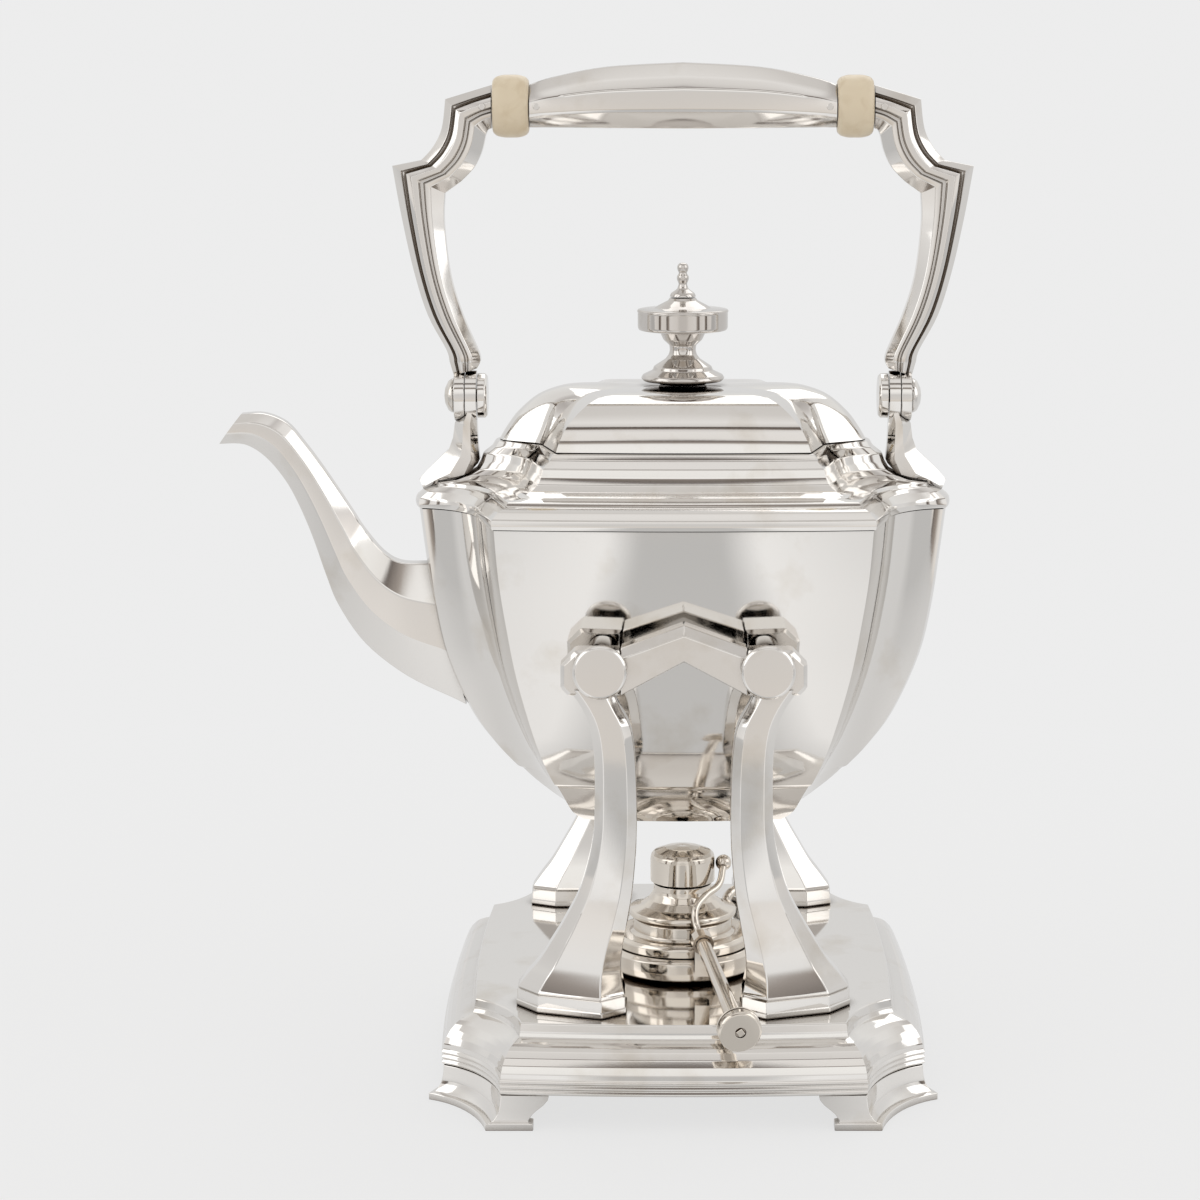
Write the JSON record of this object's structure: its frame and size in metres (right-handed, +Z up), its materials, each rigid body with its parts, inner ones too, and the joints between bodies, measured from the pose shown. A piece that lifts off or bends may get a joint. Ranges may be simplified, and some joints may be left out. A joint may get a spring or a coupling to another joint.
{
  "type": "spirit kettle on stand",
  "caption": "Silver spirit kettle with hinged lid and bail handle, tilting on pins in a four-legged stand over a spirit lamp on a footed tray.",
  "frame": {"origin": "middle of the foot of the whole object, on the surface it stands on", "axes": "+Z up, front with the lamp's handle at -Y, spout at -X"},
  "size_m": [0.279, 0.2384, 0.3708],
  "materials": {
    "silver": "polished",
    "ivory": "satin",
    "cotton": "matte"
  },
  "bodies": {
    "stand": {"base_plate": "silver", "bracket_foot_front_left": "silver", "bracket_foot_front_right": "silver", "bracket_foot_rear_left": "silver", "bracket_foot_rear_right": "silver", "leg_front_left": "silver", "leg_front_right": "silver", "leg_rear_left": "silver", "leg_rear_right": "silver", "leg_nut_front_left": "silver", "leg_nut_front_right": "silver", "leg_nut_rear_left": "silver", "leg_nut_rear_right": "silver", "crossbar_front": "silver", "crossbar_rear": "silver"},
    "pin_front_left": {"pin_front_left": "silver"},
    "pin_front_right": {"pin_front_right": "silver"},
    "pin_rear_left": {"pin_rear_left": "silver"},
    "pin_rear_right": {"pin_rear_right": "silver"},
    "kettle": {"kettle_body": "silver", "spout": "silver", "shoulder": "silver", "lid_hinge_leaf": "silver", "lid_hinge_pin": "silver", "bail_bracket_left": "silver", "bail_bracket_right": "silver", "pivot_pin_left": "silver", "pivot_pin_right": "silver"},
    "lid": {"lid": "silver", "knob_stem": "silver", "knob_disc": "silver", "finial_tip": "silver", "knob_nut": "silver", "lid_hinge_knuckle": "silver"},
    "bail": {"bail_grip": "silver", "bail_arm_left": "silver", "bail_arm_right": "silver", "insulator_ring_left": "ivory", "insulator_ring_right": "ivory", "arm_rivet_left": "silver", "arm_rivet_right": "silver", "grip_rivet_left": "silver", "grip_rivet_right": "silver"},
    "lamp": {"lamp_reservoir": "silver", "lamp_shoulder": "silver", "burner_cone": "silver", "wick_tube": "silver", "wick": "cotton", "handle_tube": "silver", "handle_dish": "silver", "tube_bracket": "silver", "lamp_handle": "silver"},
    "snuffer": {"snuffer_cap": "silver", "cap_ball": "silver", "snuffer_arm": "silver", "snuffer_knob": "silver", "knob_peg": "silver"}
  },
  "joints": [
    {"name": "kettle_tilt", "type": "hinge", "parent": "stand", "child": "kettle", "pos_m": [0.00339, 0.01039, 0.161], "axis": [0, -1, 0], "range_deg": [0, 35]},
    {"name": "lid_hinge", "type": "hinge", "parent": "kettle", "child": "lid", "pos_m": [0.03289, 0.05929, 0.235], "axis": [-1, 0, 0], "range_deg": [0, 90]},
    {"name": "bail_swing", "type": "hinge", "parent": "kettle", "child": "bail", "pos_m": [0.03289, 0.01039, 0.2486], "axis": [1, 0, 0], "range_deg": [-90, 90]},
    {"name": "lamp_lift", "type": "slide", "parent": "stand", "child": "lamp", "axis": [0, 0, 1], "range_m": [0, 0.004]},
    {"name": "snuffer_turn", "type": "hinge", "parent": "lamp", "child": "snuffer", "pos_m": [0.03879, -0.03701, 0.055], "axis": [-0.1622, 0.9758, 0.1465], "range_deg": [0, 30]},
    {"name": "pin_pull_front_left", "type": "slide", "parent": "stand", "child": "pin_front_left", "axis": [0, -1, 0], "range_m": [0, 0.009]},
    {"name": "pin_pull_front_right", "type": "slide", "parent": "stand", "child": "pin_front_right", "axis": [0, -1, 0], "range_m": [0, 0.009]},
    {"name": "pin_pull_rear_left", "type": "slide", "parent": "stand", "child": "pin_rear_left", "axis": [0, 1, 0], "range_m": [0, 0.009]},
    {"name": "pin_pull_rear_right", "type": "slide", "parent": "stand", "child": "pin_rear_right", "axis": [0, 1, 0], "range_m": [0, 0.009]}
  ]
}
